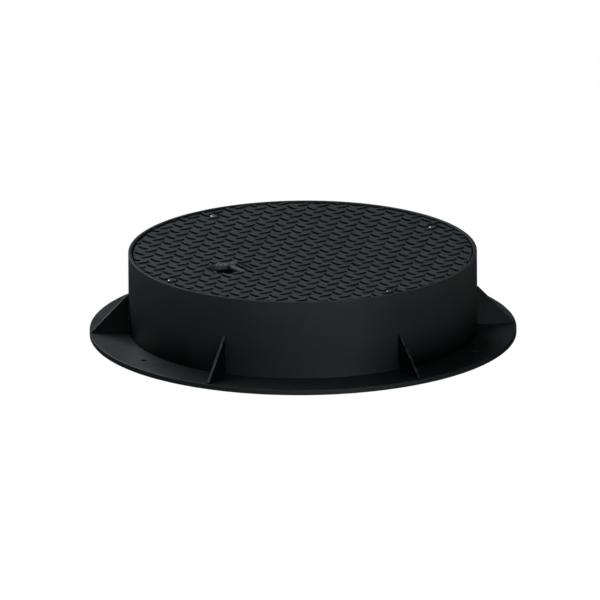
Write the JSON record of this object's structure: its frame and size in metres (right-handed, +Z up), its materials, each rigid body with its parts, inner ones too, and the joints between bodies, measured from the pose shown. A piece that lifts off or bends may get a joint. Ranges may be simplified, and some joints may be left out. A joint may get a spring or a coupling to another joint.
{
  "type": "manhole cover",
  "caption": "Round bolted access cover: tread-plate lid with a recessed lift bar, in a skirted steel frame with a gusseted base flange.",
  "frame": {"origin": "centre of the base flange's underside", "axes": "+Z up along the lid's lift; the lid bolts lie on the X and Y axes and the lift pocket on -X"},
  "size_m": [0.7619, 0.762, 0.1524],
  "materials": {
    "frame_coating": "satin black coating",
    "lid_coating": "satin black coating",
    "cup_coating": "satin black coating",
    "rib_coating": "satin black coating",
    "bare_bar": "bare",
    "bolt_steel": "bare stainless",
    "washer_steel": "bare stainless",
    "gasket_rubber": "matte"
  },
  "bodies": {
    "frame": {"skirt_ring": "frame_coating", "base_flange": "frame_coating", "gusset_1": "frame_coating", "gusset_2": "frame_coating", "gusset_3": "frame_coating", "gusset_4": "frame_coating", "gusset_5": "frame_coating", "gusset_6": "frame_coating", "seat_ring": "frame_coating", "bolt_boss_1": "frame_coating", "bolt_boss_2": "frame_coating", "bolt_boss_3": "frame_coating", "bolt_boss_4": "frame_coating", "lid_gasket": "gasket_rubber"},
    "lid": {"lid_plate": "lid_coating", "lift_cup": "cup_coating", "lift_bar": "bare_bar", "rib_long_1": "rib_coating", "rib_long_2": "rib_coating", "rib_mid_1": "rib_coating", "rib_mid_2": "rib_coating", "rib_end_1": "rib_coating", "rib_end_2": "rib_coating", "rib_end_3": "rib_coating", "rib_end_4": "rib_coating"},
    "washer_1": {"washer_1": "washer_steel"},
    "bolt_1": {"bolt_1": "bolt_steel"},
    "washer_2": {"washer_2": "washer_steel"},
    "bolt_2": {"bolt_2": "bolt_steel"},
    "washer_3": {"washer_3": "washer_steel"},
    "bolt_3": {"bolt_3": "bolt_steel"},
    "washer_4": {"washer_4": "washer_steel"},
    "bolt_4": {"bolt_4": "bolt_steel"}
  },
  "joints": [
    {"name": "lid_lift", "type": "slide", "parent": "frame", "child": "lid", "axis": [0, 0, 1], "range_m": [0, 0.3]},
    {"name": "bolt_1_rise", "type": "slide", "parent": "lid", "child": "washer_1", "axis": [0, 0, 1], "range_m": [0, 0.01588]},
    {"name": "bolt_1_turn", "type": "hinge", "parent": "washer_1", "child": "bolt_1", "pos_m": [0.281, 0, 0.14], "axis": [0, 0, 1], "range_deg": [0, 3600]},
    {"name": "bolt_2_rise", "type": "slide", "parent": "lid", "child": "washer_2", "axis": [0, 0, 1], "range_m": [0, 0.01588]},
    {"name": "bolt_2_turn", "type": "hinge", "parent": "washer_2", "child": "bolt_2", "pos_m": [0, 0.281, 0.14], "axis": [0, 0, 1], "range_deg": [0, 3600]},
    {"name": "bolt_3_rise", "type": "slide", "parent": "lid", "child": "washer_3", "axis": [0, 0, 1], "range_m": [0, 0.01588]},
    {"name": "bolt_3_turn", "type": "hinge", "parent": "washer_3", "child": "bolt_3", "pos_m": [-0.281, 0, 0.14], "axis": [0, 0, 1], "range_deg": [0, 3600]},
    {"name": "bolt_4_rise", "type": "slide", "parent": "lid", "child": "washer_4", "axis": [0, 0, 1], "range_m": [0, 0.01588]},
    {"name": "bolt_4_turn", "type": "hinge", "parent": "washer_4", "child": "bolt_4", "pos_m": [0, -0.281, 0.14], "axis": [0, 0, 1], "range_deg": [0, 3600]}
  ],
  "couplings": [
    {"joint": "bolt_1_turn", "follows": "bolt_1_rise", "rad_per_m": 3957.9},
    {"joint": "bolt_2_turn", "follows": "bolt_2_rise", "rad_per_m": 3957.9},
    {"joint": "bolt_3_turn", "follows": "bolt_3_rise", "rad_per_m": 3957.9},
    {"joint": "bolt_4_turn", "follows": "bolt_4_rise", "rad_per_m": 3957.9}
  ]
}
